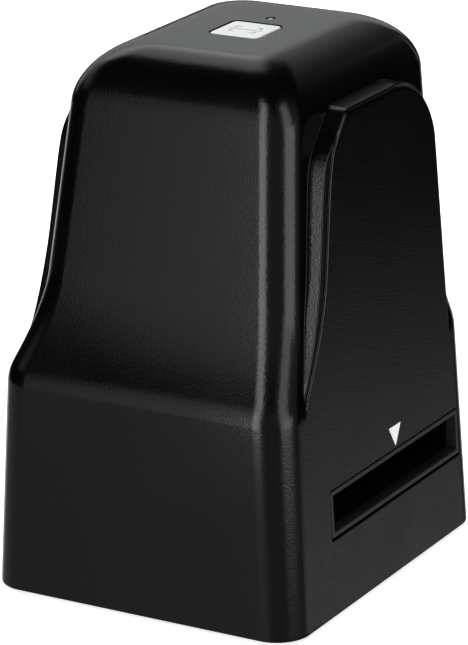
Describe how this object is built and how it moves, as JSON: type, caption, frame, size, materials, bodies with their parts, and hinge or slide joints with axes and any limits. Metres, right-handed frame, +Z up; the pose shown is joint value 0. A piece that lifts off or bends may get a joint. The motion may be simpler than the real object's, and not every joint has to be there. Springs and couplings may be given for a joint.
{
  "type": "film negative scanner",
  "caption": "Desktop film and slide scanner: drafted base with a through slot for film holders, narrower camera tower, side panels and a push button on top.",
  "frame": {"origin": "middle of the ground plane under the rubber feet, at the bottom centre of the bounding box", "axes": "+Z up; -Y is the front face; the film slot runs along X and opens on both sides; +Y is the back with the socket"},
  "size_m": [0.086, 0.099, 0.1343],
  "materials": {
    "housing_plastic": "fine-grained matt black moulding",
    "bezel_plastic": "smooth satin dark grey moulding",
    "inner_black": "dull black moulding that keeps stray light down",
    "button_silver": "silver-painted satin moulding",
    "mark_white": "printed white",
    "foot_rubber": "matt",
    "screw_steel": "plated",
    "polished_steel": "polished",
    "board_resin": "green solder mask",
    "chip_resin": "moulded epoxy",
    "component_tin": "tinned",
    "light_box_white": "matt white",
    "diffuser_opal": "opal acrylic",
    "led_phosphor": "phosphor under clear resin",
    "lens_glass": "coated",
    "light_pipe_clear": "clear acrylic",
    "connector_nylon": "natural nylon",
    "lead_film": "flat flexible lead"
  },
  "bodies": {
    "housing": {"outer_shell": "housing_plastic", "slot_arrow_marks": "mark_white", "slot_bezel_right": "bezel_plastic", "slot_bezel_left": "bezel_plastic", "bottom_cover": "housing_plastic", "rubber_feet": "foot_rubber", "cover_screws": "screw_steel", "chassis_screws": "screw_steel", "film_guide_lower": "inner_black", "film_guide_upper": "inner_black", "guide_screws": "screw_steel", "detent_spring_front": "screw_steel", "detent_spring_back": "screw_steel", "detent_plugs": "inner_black", "backlight_board": "board_resin", "backlight_leds": "led_phosphor", "backlight_screws": "screw_steel", "light_box": "light_box_white", "light_diffuser": "diffuser_opal", "optical_tunnel": "inner_black", "tunnel_screws": "screw_steel", "main_board": "board_resin", "main_board_screws": "screw_steel", "image_processor": "chip_resin", "memory_chip": "chip_resin", "board_components": "component_tin", "image_sensor": "chip_resin", "infrared_filter": "lens_glass", "lens_holder": "inner_black", "lens_barrel": "inner_black", "lens_front_element": "lens_glass", "lens_rear_element": "lens_glass", "usb_socket": "screw_steel", "cable_connectors": "connector_nylon", "backlight_cable": "lead_film", "button_cable": "lead_film", "button_board": "board_resin", "button_board_screws": "screw_steel", "tact_switch_body": "chip_resin", "status_led": "led_phosphor", "status_light_pipe": "light_pipe_clear"},
    "button": {"scan_button": "button_silver"},
    "plunger": {"switch_plunger": "chip_resin"},
    "front_ball": {"detent_ball_front": "polished_steel"},
    "rear_ball": {"detent_ball_back": "polished_steel"}
  },
  "joints": [
    {"name": "button_press", "type": "slide", "parent": "housing", "child": "button", "axis": [0, 0, -1], "range_m": [0, 0.0005], "stiffness_N_per_m": 3000},
    {"name": "plunger_press", "type": "slide", "parent": "housing", "child": "plunger", "axis": [0, 0, -1], "range_m": [0, 0.0005]},
    {"name": "front_detent", "type": "slide", "parent": "housing", "child": "front_ball", "axis": [0, 0, -1], "range_m": [0, 0.0008], "stiffness_N_per_m": 800, "deforming": ["detent_spring_front"]},
    {"name": "rear_detent", "type": "slide", "parent": "housing", "child": "rear_ball", "axis": [0, 0, -1], "range_m": [0, 0.0008], "stiffness_N_per_m": 800, "deforming": ["detent_spring_back"]}
  ],
  "couplings": [
    {"joint": "plunger_press", "follows": "button_press", "ratio": 1}
  ]
}
